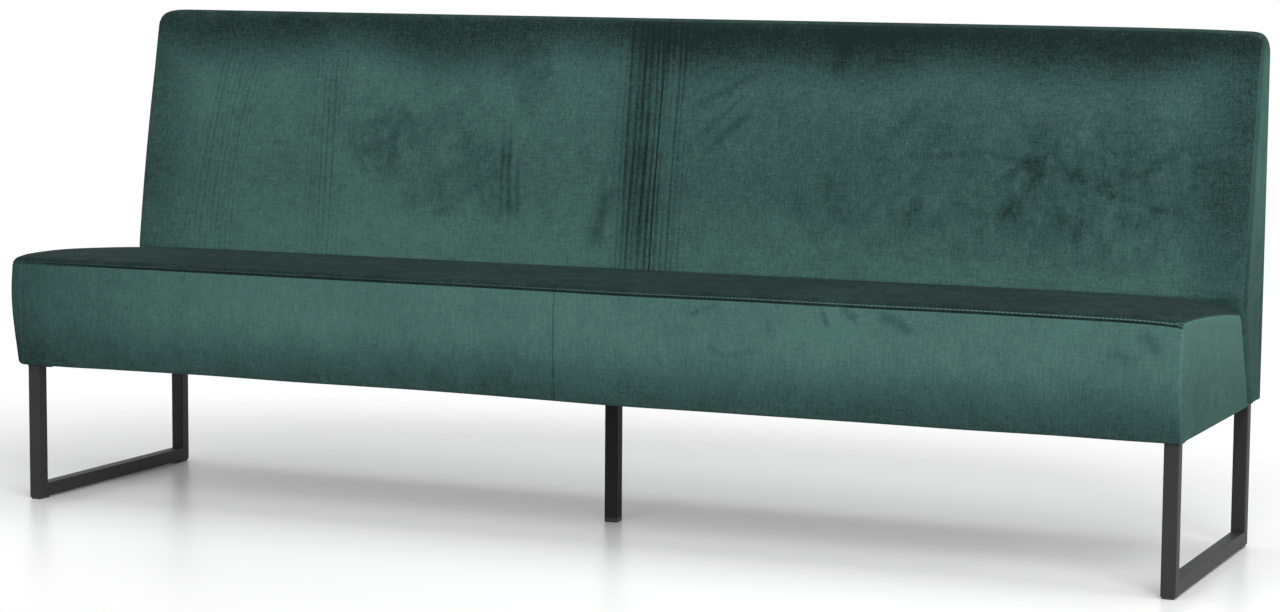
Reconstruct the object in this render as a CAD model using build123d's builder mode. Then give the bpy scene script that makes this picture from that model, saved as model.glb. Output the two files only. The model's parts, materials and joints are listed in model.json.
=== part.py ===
from build123d import *
import math
import os

os.makedirs("parts", exist_ok=True)

# Dining bench with an upholstered seat and backrest on three steel supports.
# Millimetres. +X along the bench, +Y to its back, +Z up, floor at Z = 0.

# Overall sizes
HALF_LENGTH = 1100
HEIGHT = 904
SEAT_BOTTOM = 256
COVER = 2

# Steel legs
TUBE = 25
TUBE_ROUND = 2.5
BORE = 21
BORE_ROUND = 1
LEG_OUTER_X = 1092.5
LEG_FRONT_Y = -267
LEG_REAR_Y = 254
GLIDE_HEIGHT = 3.5
GLIDE_LENGTH = 32
GLIDE_WIDTH = 21
PIN_DIAMETER = 5
PLATE_WIDTH = 50
PLATE_THICKNESS = 4
MIDDLE_X = -8
MIDDLE_Y = -6.5
MIDDLE_PLATE = 80
FOOT_HEIGHT = 8

# Seat form: front bulge, crown, slope to the rear and drop at the ends
SEAT_FRONT_BOTTOM = (-277, SEAT_BOTTOM)
SEAT_FRONT_BULGE = (-285, 350)
SEAT_SEAM = (-280, 441)
SEAT_EDGE = (-275, 452)
SEAT_TOP_FRONT = (-262, 457)
SEAT_CROWN = (-80, 463)
SEAT_TOP_REAR = (128, 447)
SEAT_REAR_BOTTOM = (205, SEAT_BOTTOM)
END_SLOPE = 4.2
END_SLOPE_Y = 102
END_FALL = ((800, 455), (980, 444), (1080, 426))
END_EDGE = ((1080, 426), (1094, 418.5), (HALF_LENGTH, 402))
ABOVE_SEAT = 500
BELOW_SEAT = 100
CORNER = 12
CORNER_DIP = 1
SIDE_PANEL_X = 1090

# Backrest form: leaning front, upright rear, rounded top
BACK_GAP = 1
BACK_KNEE = (SEAT_TOP_REAR[0] + BACK_GAP, SEAT_TOP_REAR[1])
BACK_BOTTOM = (SEAT_REAR_BOTTOM[0] + BACK_GAP, SEAT_BOTTOM)
BACK_FRONT_BULGE = (166, 677)
BACK_FRONT_TOP = (217, HEIGHT)
BACK_REAR_TOP = (284, HEIGHT)
BACK_REAR_BULGE = (285, 580)
BACK_REAR_BOTTOM = (281, SEAT_BOTTOM)
BACK_TOP_ROUND = 26
BACK_PANEL_TOP = HEIGHT - 20
BACK_SHOULDER_X = 1060
BACK_SHOULDER_DROP = 3
BACK_CORNER_DROP = 40
BACK_SPLIT_Y = 235

# Wooden frames
WOOD_BOTTOM = SEAT_BOTTOM + COVER
SEAT_WOOD_X = 1088
SEAT_WOOD_FRONT = -265
SEAT_WOOD_REAR = 158
RAIL_THICKNESS = 25
RAIL_HEIGHT = 90
END_RAIL_WIDTH = 45
CROSS_RAIL_HEIGHT = 70
CROSS_RAIL_X = 360
CROSS_RAIL_WIDTH = 30
MIDDLE_RAIL_WIDTH = 70
STRAP_WIDTH = 60
STRAP_THICKNESS = 2
STRAP_PITCH = 175
STRAPS_PER_HALF = 6
BACK_WOOD_X = 1086
BACK_WOOD_TOP = 872
BACK_WOOD_KNEE = (162, 441)
BACK_WOOD_LEAN = 0.1935
BACK_WOOD_FOOT_Y = 226
BACK_WOOD_REAR = 276
BOARD = 3
END_UPRIGHT_WIDTH = 45
UPRIGHT_WIDTH = 22
UPRIGHT_X = (180, 540)
BACK_TOP_RAIL = ((252, 272), (820, 865))
BACK_MIDDLE_RAIL = ((178, 198), (445, 490))
BACK_BOTTOM_RAIL = ((247, 272), (260, 330))

# Fasteners
LEG_BOLT_X = 1055
LEG_BOLT_Y = (-200, -60, 80, 243)
LEG_BOLT_LENGTH = 38
BOLT_DIAMETER = 8
BOLT_HEAD_DIAMETER = 14
BOLT_HEAD_HEIGHT = 4.5
SCREW_SPREAD = 28
SCREW_DIAMETER = 6
SCREW_HEAD_DIAMETER = 11
SCREW_HEAD_HEIGHT = 3.5
SCREW_LENGTH = 30
BACK_BOLT_Z = 300
BACK_BOLT_LENGTH = 117
PLATE_HOLE_PLAY = 0.8

# Where the cover panels and the dust cloths meet
SEAT_FRONT_PANEL_TOP = 447
SEAT_FRONT_PANEL_REAR = -262
SEAT_TOP_PANEL_BOTTOM = 400
UNDER_X = (-SIDE_PANEL_X, SIDE_PANEL_X)
UNDER_Z = (SEAT_BOTTOM, WOOD_BOTTOM)
SEAT_UNDER_Y = (-266, 194)
BACK_UNDER_Y = (216, 272)
FAR = 2000

PLATE_BOTTOM = SEAT_BOTTOM - PLATE_THICKNESS
RAIL_TOP = WOOD_BOTTOM + RAIL_HEIGHT
FOAM_BOTTOM = RAIL_TOP + STRAP_THICKNESS
SIDES = (("left", -1), ("right", 1))


def save(solid, node):
    """Label a finished piece and write it to its own file."""
    solid.label = node
    export_step(solid, f"parts/{node}.step")


def block(x, y, z):
    """A box between the two values given for each axis."""
    with BuildPart() as made:
        with Locations(((x[0] + x[1]) / 2, (y[0] + y[1]) / 2, (z[0] + z[1]) / 2)):
            Box(x[1] - x[0], y[1] - y[0], z[1] - z[0])
    return made.part


def blocks(bounds):
    """Several separate boxes as one group."""
    with BuildPart() as made:
        for x, y, z in bounds:
            add(block(x, y, z))
    return made.part


def prism(points, x):
    """A straight length of a side outline, given as points in Y and Z."""
    with BuildPart() as made:
        with BuildSketch(Plane.YZ.offset(x[0])):
            with BuildLine():
                Polyline(*points, close=True)
            make_face()
        extrude(amount=x[1] - x[0])
    return made.part


def cut(solid, *tools):
    """What is left of a solid when the tools are taken out of it."""
    with BuildPart() as made:
        add(solid)
        for tool in tools:
            add(tool, mode=Mode.SUBTRACT)
    return made.part


def kept(solid, region, *tools):
    """The share of a solid inside a region, without the tools."""
    with BuildPart() as made:
        add(solid)
        add(region, mode=Mode.INTERSECT)
        for tool in tools:
            add(tool, mode=Mode.SUBTRACT)
    return made.part


def rods(places, direction, diameter, length):
    """Round rods of one length that start at the given places."""
    with BuildPart() as made:
        for place in places:
            with BuildSketch(Plane(origin=place, z_dir=direction)):
                Circle(diameter / 2)
            extrude(amount=length)
    return made.part


def seat_form(inset):
    """The upholstered seat, drawn in on every face by the inset."""
    tilt = math.radians(END_SLOPE)
    slope = Plane(
        origin=(0, END_SLOPE_Y, 0),
        x_dir=(1, 0, 0),
        z_dir=(0, -math.cos(tilt), math.sin(tilt)),
    )
    with BuildPart() as form:
        # side outline
        with BuildSketch(Plane.YZ):
            with BuildLine():
                ThreePointArc(SEAT_FRONT_BOTTOM, SEAT_FRONT_BULGE, SEAT_SEAM)
                ThreePointArc(SEAT_SEAM, SEAT_EDGE, SEAT_TOP_FRONT)
                ThreePointArc(SEAT_TOP_FRONT, SEAT_CROWN, SEAT_TOP_REAR)
                Line(SEAT_TOP_REAR, SEAT_REAR_BOTTOM)
                Line(SEAT_REAR_BOTTOM, SEAT_FRONT_BOTTOM)
            make_face()
            if inset > 0:
                offset(amount=-inset, kind=Kind.INTERSECTION)
        extrude(amount=HALF_LENGTH + 50, both=True)
        # the top falls away to both ends, more so at the rear
        with BuildSketch(slope):
            with BuildLine():
                Line((0, ABOVE_SEAT), (END_FALL[0][0], ABOVE_SEAT))
                Line((END_FALL[0][0], ABOVE_SEAT), END_FALL[0])
                ThreePointArc(*END_FALL)
                ThreePointArc(*END_EDGE)
                Line(END_EDGE[2], (HALF_LENGTH, BELOW_SEAT))
                Line((HALF_LENGTH, BELOW_SEAT), (0, BELOW_SEAT))
                mirror(about=Plane.YZ)
            make_face()
            if inset > 0:
                offset(amount=-inset, kind=Kind.INTERSECTION)
        extrude(amount=500, both=True, mode=Mode.INTERSECT)
        # rounded lower corners at both ends
        with BuildSketch(Plane.XZ):
            with Locations((0, SEAT_BOTTOM - CORNER_DIP + 200)):
                RectangleRounded(2 * (HALF_LENGTH - inset), 2 * (200 - inset), CORNER - inset)
        extrude(amount=500, both=True, mode=Mode.INTERSECT)
    return form.part


def back_form(inset):
    """The upholstered backrest, drawn in on every face by the inset."""
    with BuildPart() as form:
        # side outline
        with BuildSketch(Plane.YZ) as outline:
            with BuildLine():
                Line(BACK_BOTTOM, BACK_KNEE)
                ThreePointArc(BACK_KNEE, BACK_FRONT_BULGE, BACK_FRONT_TOP)
                Line(BACK_FRONT_TOP, BACK_REAR_TOP)
                ThreePointArc(BACK_REAR_TOP, BACK_REAR_BULGE, BACK_REAR_BOTTOM)
                Line(BACK_REAR_BOTTOM, BACK_BOTTOM)
            make_face()
            fillet(outline.vertices().sort_by(Axis.Y)[-2:], BACK_TOP_ROUND)
            if inset > 0:
                offset(amount=-inset, kind=Kind.INTERSECTION)
        extrude(amount=HALF_LENGTH + 50, both=True)
        # front outline with rounded upper corners and a slight rise to the middle
        half = HALF_LENGTH - inset
        bottom = SEAT_BOTTOM - CORNER_DIP + inset
        corner = CORNER - inset
        shoulder = (BACK_SHOULDER_X, HEIGHT - BACK_SHOULDER_DROP - inset)
        cheek = (half, HEIGHT - BACK_CORNER_DROP)
        bend = (HALF_LENGTH - 12 - 0.7 * inset, HEIGHT - 14 - 0.7 * inset)
        with BuildSketch(Plane.XZ):
            with BuildLine():
                Line((0, bottom), (half - corner, bottom))
                RadiusArc((half - corner, bottom), (half, bottom + corner), -corner)
                Line((half, bottom + corner), cheek)
                ThreePointArc(cheek, bend, shoulder)
                ThreePointArc(shoulder, (560, HEIGHT - 0.8 - inset), (0, HEIGHT - inset))
                mirror(about=Plane.YZ)
            make_face()
        extrude(amount=500, both=True, mode=Mode.INTERSECT)
    return form.part


# Fasteners come first, because their shanks also make the holes

leg_bolt_places = [(s * LEG_BOLT_X, y, PLATE_BOTTOM) for name, s in SIDES for y in LEG_BOLT_Y]
leg_shanks = rods(leg_bolt_places, (0, 0, 1), BOLT_DIAMETER, LEG_BOLT_LENGTH)
leg_holes = rods(leg_bolt_places, (0, 0, 1), BOLT_DIAMETER + PLATE_HOLE_PLAY, PLATE_THICKNESS)
with BuildPart() as leg_bolts:
    add(leg_shanks)
    add(rods(leg_bolt_places, (0, 0, -1), BOLT_HEAD_DIAMETER, BOLT_HEAD_HEIGHT))
save(leg_bolts.part, "leg_bolts")

screw_places = [
    (MIDDLE_X + x, MIDDLE_Y + y, PLATE_BOTTOM)
    for x in (-SCREW_SPREAD, SCREW_SPREAD)
    for y in (-SCREW_SPREAD, SCREW_SPREAD)
]
screw_shanks = rods(screw_places, (0, 0, 1), SCREW_DIAMETER, SCREW_LENGTH)
screw_holes = rods(screw_places, (0, 0, 1), SCREW_DIAMETER + PLATE_HOLE_PLAY, PLATE_THICKNESS)
with BuildPart() as middle_leg_screws:
    add(screw_shanks)
    add(rods(screw_places, (0, 0, -1), SCREW_HEAD_DIAMETER, SCREW_HEAD_HEIGHT))
save(middle_leg_screws.part, "middle_leg_screws")

back_bolt_y = SEAT_WOOD_REAR - RAIL_THICKNESS
back_bolt_places = [(s * x, back_bolt_y, BACK_BOLT_Z) for name, s in SIDES for x in UPRIGHT_X]
back_shanks = rods(back_bolt_places, (0, 1, 0), BOLT_DIAMETER, BACK_BOLT_LENGTH)
with BuildPart() as back_bolts:
    add(back_shanks)
    add(rods(back_bolt_places, (0, -1, 0), BOLT_HEAD_DIAMETER, BOLT_HEAD_HEIGHT))
save(back_bolts.part, "back_bolts")

# End legs: mitred tubes, a mounting plate and two glides on each side

tube_centre = LEG_OUTER_X - TUBE / 2
front_mitre = Plane(origin=(0, LEG_FRONT_Y, GLIDE_HEIGHT), x_dir=(1, 0, 0), z_dir=(0, -1, 1))
rear_mitre = Plane(origin=(0, LEG_REAR_Y, GLIDE_HEIGHT), x_dir=(1, 0, 0), z_dir=(0, 1, 1))


def square_tube(plane, length):
    """A straight length of the square steel tube."""
    with BuildPart() as tube:
        with BuildSketch(plane):
            RectangleRounded(TUBE, TUBE, TUBE_ROUND)
            RectangleRounded(BORE, BORE, BORE_ROUND, mode=Mode.SUBTRACT)
        extrude(amount=length)
    return tube.part


def post(x, y, mitre):
    """An upright tube, cut to the mitre at its lower end."""
    with BuildPart() as made:
        add(square_tube(Plane(origin=(x, y, GLIDE_HEIGHT)), PLATE_BOTTOM - GLIDE_HEIGHT))
        split(bisect_by=mitre, keep=Keep.TOP)
    return made.part


for name, s in SIDES:
    x = s * tube_centre
    save(post(x, LEG_FRONT_Y + TUBE / 2, front_mitre), f"{name}_front_post")
    save(post(x, LEG_REAR_Y - TUBE / 2, rear_mitre), f"{name}_rear_post")

    pin_places = [
        (x, LEG_FRONT_Y + GLIDE_LENGTH / 2 + 1, GLIDE_HEIGHT),
        (x, LEG_REAR_Y - GLIDE_LENGTH / 2 - 1, GLIDE_HEIGHT),
    ]
    rail_start = Plane(
        origin=(x, LEG_FRONT_Y, GLIDE_HEIGHT + TUBE / 2), x_dir=(1, 0, 0), z_dir=(0, 1, 0)
    )
    with BuildPart() as bottom_rail:
        add(square_tube(rail_start, LEG_REAR_Y - LEG_FRONT_Y))
        split(bisect_by=front_mitre, keep=Keep.BOTTOM)
        split(bisect_by=rear_mitre, keep=Keep.BOTTOM)
        add(rods(pin_places, (0, 0, 1), PIN_DIAMETER, 4), mode=Mode.SUBTRACT)
    save(bottom_rail.part, f"{name}_bottom_rail")

    for end, place in zip(("front", "rear"), pin_places):
        with BuildPart() as glide:
            with BuildSketch(Plane((place[0], place[1], 0))):
                RectangleRounded(GLIDE_WIDTH, GLIDE_LENGTH, 3)
            extrude(amount=GLIDE_HEIGHT)
            chamfer(glide.faces().sort_by(Axis.Z)[0].edges(), 1)
            add(rods([place], (0, 0, 1), PIN_DIAMETER, 7))
        save(glide.part, f"{name}_{end}_glide")

    plate_x = sorted((s * LEG_OUTER_X, s * (LEG_OUTER_X - PLATE_WIDTH)))
    plate = block(plate_x, (LEG_FRONT_Y, LEG_REAR_Y), (PLATE_BOTTOM, SEAT_BOTTOM))
    save(cut(plate, leg_holes), f"{name}_mounting_plate")

# Middle leg: one tube, a square top plate and a plug-in foot

middle_start = Plane(origin=(MIDDLE_X, MIDDLE_Y, FOOT_HEIGHT))
save(square_tube(middle_start, PLATE_BOTTOM - FOOT_HEIGHT), "middle_post")

middle_half = MIDDLE_PLATE / 2
middle_plate = block(
    (MIDDLE_X - middle_half, MIDDLE_X + middle_half),
    (MIDDLE_Y - middle_half, MIDDLE_Y + middle_half),
    (PLATE_BOTTOM, SEAT_BOTTOM),
)
save(cut(middle_plate, screw_holes), "middle_plate")

with BuildPart() as middle_foot:
    with BuildSketch(Plane((MIDDLE_X, MIDDLE_Y, 0))):
        RectangleRounded(TUBE, TUBE, TUBE_ROUND)
    extrude(amount=FOOT_HEIGHT)
    fillet(middle_foot.faces().sort_by(Axis.Z)[0].edges(), 2)
    with BuildSketch(middle_start):
        RectangleRounded(BORE - 0.4, BORE - 0.4, BORE_ROUND)
    extrude(amount=18)
save(middle_foot.part, "middle_foot")

# Seat frame: rails, cross rails and webbing

rail_z = (WOOD_BOTTOM, RAIL_TOP)
front_rail_y = (SEAT_WOOD_FRONT, SEAT_WOOD_FRONT + RAIL_THICKNESS)
rear_rail_y = (SEAT_WOOD_REAR - RAIL_THICKNESS, SEAT_WOOD_REAR)
between_y = (front_rail_y[1], rear_rail_y[0])
save(block((-SEAT_WOOD_X, SEAT_WOOD_X), front_rail_y, rail_z), "seat_front_rail")
seat_rear_rail = block((-SEAT_WOOD_X, SEAT_WOOD_X), rear_rail_y, rail_z)
save(cut(seat_rear_rail, back_shanks), "seat_rear_rail")
for name, s in SIDES:
    end_x = sorted((s * SEAT_WOOD_X, s * (SEAT_WOOD_X - END_RAIL_WIDTH)))
    save(cut(block(end_x, between_y, rail_z), leg_shanks), f"seat_{name}_end_rail")

cross_z = (WOOD_BOTTOM, WOOD_BOTTOM + CROSS_RAIL_HEIGHT)
cross_half = CROSS_RAIL_WIDTH / 2
middle_rail_half = MIDDLE_RAIL_WIDTH / 2
middle_rail_x = (MIDDLE_X - middle_rail_half, MIDDLE_X + middle_rail_half)
middle_rail = block(middle_rail_x, between_y, cross_z)
save(cut(middle_rail, screw_shanks), "seat_middle_rail")
cross_bounds = [
    ((s * CROSS_RAIL_X - cross_half, s * CROSS_RAIL_X + cross_half), between_y, cross_z)
    for name, s in SIDES
]
save(blocks(cross_bounds), "seat_cross_rails")

strap_bounds = []
for name, s in SIDES:
    for i in range(STRAPS_PER_HALF):
        middle = s * STRAP_PITCH * (i + 0.5)
        strap_x = (middle - STRAP_WIDTH / 2, middle + STRAP_WIDTH / 2)
        strap_z = (RAIL_TOP, RAIL_TOP + STRAP_THICKNESS)
        strap_bounds.append((strap_x, (SEAT_WOOD_FRONT, SEAT_WOOD_REAR), strap_z))
save(blocks(strap_bounds), "seat_webbing")

# Seat foam and cover

seat_outer = seat_form(0)
seat_inner = seat_form(COVER)
save(kept(seat_inner, block((-FAR, FAR), (-FAR, FAR), (FOAM_BOTTOM, FAR))), "seat_foam")

# strips of wadding around the frame, under the edge of the foam
strip_z = (0, FOAM_BOTTOM)
with BuildPart() as seat_wadding:
    add(kept(seat_inner, block((-FAR, FAR), (-FAR, SEAT_WOOD_FRONT), strip_z)))
    add(kept(seat_inner, block((-FAR, FAR), (SEAT_WOOD_REAR, FAR), strip_z), back_shanks))
    for name, s in SIDES:
        strip_x = sorted((s * SEAT_WOOD_X, s * FAR))
        strip_y = (SEAT_WOOD_FRONT + 0.5, SEAT_WOOD_REAR - 0.5)
        add(kept(seat_inner, block(strip_x, strip_y, strip_z)))
save(seat_wadding.part, "seat_wadding")

seat_under = block(UNDER_X, SEAT_UNDER_Y, UNDER_Z)
save(cut(seat_under, leg_shanks, screw_shanks), "seat_dust_cloth")

seat_shell = cut(seat_outer, seat_inner, seat_under)
front_region = block((-FAR, FAR), (-FAR, SEAT_FRONT_PANEL_REAR), (0, SEAT_FRONT_PANEL_TOP))
for name, s in SIDES:
    half_x = sorted((0, s * SIDE_PANEL_X))
    side_x = sorted((s * SIDE_PANEL_X, s * FAR))
    front_keep = block(half_x, (-FAR, SEAT_FRONT_PANEL_REAR), (0, SEAT_FRONT_PANEL_TOP))
    save(kept(seat_shell, front_keep), f"seat_front_cover_{name}")
    top_keep = block(half_x, (-FAR, FAR), (SEAT_TOP_PANEL_BOTTOM, FAR))
    save(kept(seat_shell, top_keep, front_region), f"seat_top_cover_{name}")
    save(kept(seat_shell, block(side_x, (-FAR, FAR), (0, FAR))), f"seat_side_cover_{name}")
rear_keep = block((-SIDE_PANEL_X, SIDE_PANEL_X), (100, FAR), (0, SEAT_TOP_PANEL_BOTTOM))
save(kept(seat_shell, rear_keep, back_shanks), "seat_rear_cloth")

# Backrest frame: uprights, rails and boards


def lean(z):
    """Y of the front of the backrest frame at a height above its knee."""
    return BACK_WOOD_KNEE[0] + BACK_WOOD_LEAN * (z - BACK_WOOD_KNEE[1])


wood_space = [
    (BACK_WOOD_FOOT_Y, SEAT_BOTTOM),
    (BACK_WOOD_FOOT_Y, WOOD_BOTTOM),
    BACK_WOOD_KNEE,
    (lean(BACK_WOOD_TOP), BACK_WOOD_TOP),
    (BACK_WOOD_REAR, BACK_WOOD_TOP),
    (BACK_WOOD_REAR, SEAT_BOTTOM),
]
upright_points = [
    (BACK_WOOD_FOOT_Y + BOARD, WOOD_BOTTOM),
    (BACK_WOOD_KNEE[0] + BOARD, BACK_WOOD_KNEE[1]),
    (lean(BACK_WOOD_TOP) + BOARD, BACK_WOOD_TOP),
    (BACK_WOOD_REAR - BOARD, BACK_WOOD_TOP),
    (BACK_WOOD_REAR - BOARD, WOOD_BOTTOM),
]
for name, s in SIDES:
    end_x = sorted((s * BACK_WOOD_X, s * (BACK_WOOD_X - END_UPRIGHT_WIDTH)))
    save(cut(prism(upright_points, end_x), leg_shanks), f"back_{name}_end_upright")
    for place, centre in zip(("inner", "outer"), UPRIGHT_X):
        upright_x = (s * centre - UPRIGHT_WIDTH / 2, s * centre + UPRIGHT_WIDTH / 2)
        save(cut(prism(upright_points, upright_x), back_shanks), f"back_{name}_{place}_upright")

half_upright = UPRIGHT_WIDTH / 2
bay_edges = [BACK_WOOD_X - END_UPRIGHT_WIDTH]
for centre in reversed(UPRIGHT_X):
    bay_edges.append(centre + half_upright)
    bay_edges.append(centre - half_upright)
bay_edges += [-edge for edge in reversed(bay_edges)]
bays = [sorted(bay_edges[i : i + 2]) for i in range(0, len(bay_edges), 2)]

save(blocks([(bay, *BACK_TOP_RAIL) for bay in bays]), "back_top_rails")
save(blocks([(bay, *BACK_MIDDLE_RAIL) for bay in bays]), "back_middle_rails")
save(blocks([(bay, *BACK_BOTTOM_RAIL) for bay in bays]), "back_bottom_rails")

wood_x = (-BACK_WOOD_X, BACK_WOOD_X)
front_board_points = [
    BACK_WOOD_KNEE,
    (lean(BACK_WOOD_TOP), BACK_WOOD_TOP),
    (lean(BACK_WOOD_TOP) + BOARD, BACK_WOOD_TOP),
    (BACK_WOOD_KNEE[0] + BOARD, BACK_WOOD_KNEE[1]),
]
save(prism(front_board_points, wood_x), "back_front_board")
rear_board_y = (BACK_WOOD_REAR - BOARD, BACK_WOOD_REAR)
save(block(wood_x, rear_board_y, (WOOD_BOTTOM, BACK_WOOD_TOP)), "back_rear_board")

# Backrest foam and cover

back_outer = back_form(0)
back_inner = back_form(COVER)
save(cut(back_inner, prism(wood_space, wood_x), back_shanks), "back_foam")

back_under = block(UNDER_X, BACK_UNDER_Y, UNDER_Z)
save(cut(back_under, leg_shanks), "back_dust_cloth")

back_shell = cut(back_outer, back_inner, back_under)
for name, s in SIDES:
    half_x = sorted((0, s * SIDE_PANEL_X))
    side_x = sorted((s * SIDE_PANEL_X, s * FAR))
    front_keep = block(half_x, (0, BACK_SPLIT_Y), (0, BACK_PANEL_TOP))
    save(kept(back_shell, front_keep, back_shanks), f"back_front_cover_{name}")
    rear_keep = block(half_x, (BACK_SPLIT_Y, FAR), (0, BACK_PANEL_TOP))
    save(kept(back_shell, rear_keep), f"back_rear_cover_{name}")
    top_keep = block(half_x, (0, FAR), (BACK_PANEL_TOP, FAR))
    save(kept(back_shell, top_keep), f"back_top_cover_{name}")
    save(kept(back_shell, block(side_x, (0, FAR), (0, FAR))), f"back_side_cover_{name}")
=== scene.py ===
import json
import math

import bpy
from mathutils import Matrix, Vector, noise


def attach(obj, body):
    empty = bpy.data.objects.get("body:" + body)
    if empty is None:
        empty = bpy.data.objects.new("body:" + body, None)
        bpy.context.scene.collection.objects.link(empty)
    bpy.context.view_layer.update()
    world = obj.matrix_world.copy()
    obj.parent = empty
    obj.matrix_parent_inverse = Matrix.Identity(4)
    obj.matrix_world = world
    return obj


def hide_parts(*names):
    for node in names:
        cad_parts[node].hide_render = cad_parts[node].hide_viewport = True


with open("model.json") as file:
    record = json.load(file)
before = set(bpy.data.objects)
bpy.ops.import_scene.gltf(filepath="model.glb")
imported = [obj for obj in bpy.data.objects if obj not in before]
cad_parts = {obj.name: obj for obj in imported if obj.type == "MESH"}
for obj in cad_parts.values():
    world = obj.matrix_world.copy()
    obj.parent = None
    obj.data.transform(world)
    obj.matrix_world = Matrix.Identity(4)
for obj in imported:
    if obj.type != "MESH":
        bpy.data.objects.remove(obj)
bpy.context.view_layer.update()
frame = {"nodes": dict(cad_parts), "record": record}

# Sizes in metres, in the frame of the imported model. Left, at negative x, is left in the photo.
HALF = 1.100            # half the length of seat and backrest
SEAT_END_ROUND = 0.012  # rounding between the seat's long faces and its ends
BACK_END_ROUND = 0.014  # the same on the backrest

# Corners of the side outlines: y, z, rounding, and how far the run after the corner bulges out.
# A corner's rounding and the run after it share one number.
SEAT_CORNERS = [
    (-0.2770, 0.2560, 0.007, 0.0055),
    (-0.2815, 0.4575, 0.017, 0.0100),
    (0.1280, 0.4470, 0.010, 0.0),
    (0.2050, 0.2560, 0.004, 0.0),
]
SEAT_FRONT, SEAT_TOP, SEAT_REAR, SEAT_UNDER = range(4)
BACK_CORNERS = [
    (0.2060, 0.2560, 0.004, 0.0),
    (0.1290, 0.4470, 0.012, 0.0065),
    (0.2170, 0.9040, 0.022, 0.0),
    (0.2840, 0.9040, 0.024, 0.0012),
    (0.2810, 0.2560, 0.006, 0.0),
]
BACK_FOOT, BACK_FRONT, BACK_TOP, BACK_REAR, BACK_UNDER = range(5)
END = -1                # stands for the run on the faces of the ends
MID_CORNER = -0.5       # the middle of a rounded corner, which goes from -1 to 0
KNEE_Y, KNEE_Z = BACK_CORNERS[BACK_FRONT][:2]
BACK_LEAN = 0.19        # how far the backrest's front leans back, y for z

# Grid of the padded meshes
STEP = 0.012            # spacing along the bench and on the long runs
ARC_STEP = 0.006        # spacing on the rounded corners
LEAST_ROUND = 0.0015    # corners keep this rounding where the outline is drawn in
# Close stations beside the middle seam
MIDDLE_STATIONS = (0.0, 0.0015, 0.003, 0.005, 0.008)
FIRST_EVEN = 0.018      # evenly spaced stations start here
LAST_EVEN = 0.05        # and stop this far from the ends
END_ZONE = 0.045        # closer stations fill this length at each end
END_STATIONS = 9
ROUND_STATIONS = 6      # steps on the rounding of an end
# Sizes of the rings that close an end
END_RINGS = (0.97, 0.92, 0.84, 0.74, 0.62, 0.5, 0.38, 0.26, 0.14, 0.05)
PANEL_EDGE = 0.0035     # the side panels reach this far round the ends
END_RIDGE = 0.0045      # the ridge of the end seams lies this far from the ends

# How the padded forms leave their plain outlines
HEM = 0.256             # height of the lower edge
HEM_TOP = 0.30          # the hem's own changes end below this height
HEM_FADE = 0.03         # and reach their full size this much further down
HEM_RIGHT = 0.0035      # the hem hangs lower on the right half
HEM_LEFT = 0.0015       # and near the left end
HEM_CORNER = 0.0025     # and on the rounding at the right end
SEAT_RISE = 0.19        # height over which the seat's fall to its ends comes in
SEAT_REACH = 0.285      # foremost place of the seat, as -y
SEAT_DEPTH = 0.41
FALL_REACH = 0.055      # the seat's fall to its ends dies away over this length
SWELL_REACH = 0.12      # and the lengthening of the ends over this one
SEAT_LEFT = 0.012       # the seat's left end stands out by this
LEFT_SWELL = 0.009      # and by this more below its top edge
BACK_LEFT = 0.010       # the backrest's ends stand out by these
BACK_RIGHT = 0.004
BACK_LIFT = 0.0025      # the backrest's top edge is this much up at the middle
TOP_TILT = 0.005        # and this much further up at the left end and down at the right end
BACK_DRAWN = 0.005      # the backrest's front is drawn back at its ends
EVEN_END = 0.06         # unevenness starts from nothing over this length at the ends
END_CAP = 0.0072        # outer part of the rounded ends
UNDER_LIFT = 0.0012     # the underside is drawn up between its edges
SEAT_UNDER_SPAN = (-0.268, 0.196)  # where that is, in y
BACK_UNDER_SPAN = (0.214, 0.274)

# Cloth simulation
CLOTH_FRAMES = 20
SEAT_PRESSURE = 0.45
BACK_PRESSURE = 0.35
SWELL_LIMIT = 0.006     # no point moves further than this
HELD_MIDDLE = 0.001     # held on both sides of the middle seam
HELD_END = 0.004        # held at the ends
HELD_BELOW = 0.262      # held up to this height
HELD_ABOVE = 0.86       # and from this height on

# Seam along the seat's front edge
SEAM_SHARE = -4 / 6     # where it lies on the rounded edge
SEAM_END = 0.003        # it stops this far from the ends
CREASE = 0.0014         # depth of the crease below it
CREASE_FROM = 0.18      # the crease lies between these shares below the seam
CREASE_TO = 0.01
FOLD_HALF = 0.0015      # half width of the lapped fold
FOLD_SHIFT = 0.0008     # the fold lies this much above the seam
FOLD_CLIMB = 0.004      # and by this more at the right end
FOLD_CLIMB_SPAN = (1.082, 1.095)    # where it climbs, in x
FOLD_LEAST = 0.2        # size that is left of the fold at the left end
FOLD_TAPER_SPAN = (-1.115, -1.060)  # where it comes to its full size, in x
# Section of the fold: across, in half widths, and outwards in metres
FOLD_SECTION = [(-0.8, -0.0006), (-1.0, 0.0006), (-0.6, 0.0015), (0.2, 0.0016), (0.9, 0.0008),
                (1.1, -0.0003), (0.2, -0.0010)]
STITCH_OUT = 0.0016     # the stitches lie this far out on the fold
STITCH_LENGTH = 0.0052
STITCH_PITCH = 0.0075
STITCH_RADIUS = 0.00055
STITCH_LIFT = 0.0006
STITCH_SIDES = 6
# Rings of a stitch: place in lengths, thickness in radii, and rise in lifts
STITCH_RINGS = [(-0.5, 0.2, -0.4), (-0.3, 0.8, 0.1), (0.0, 1.0, 0.35), (0.3, 0.8, 0.1),
                (0.5, 0.2, -0.4)]


# Mesh helpers

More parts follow.
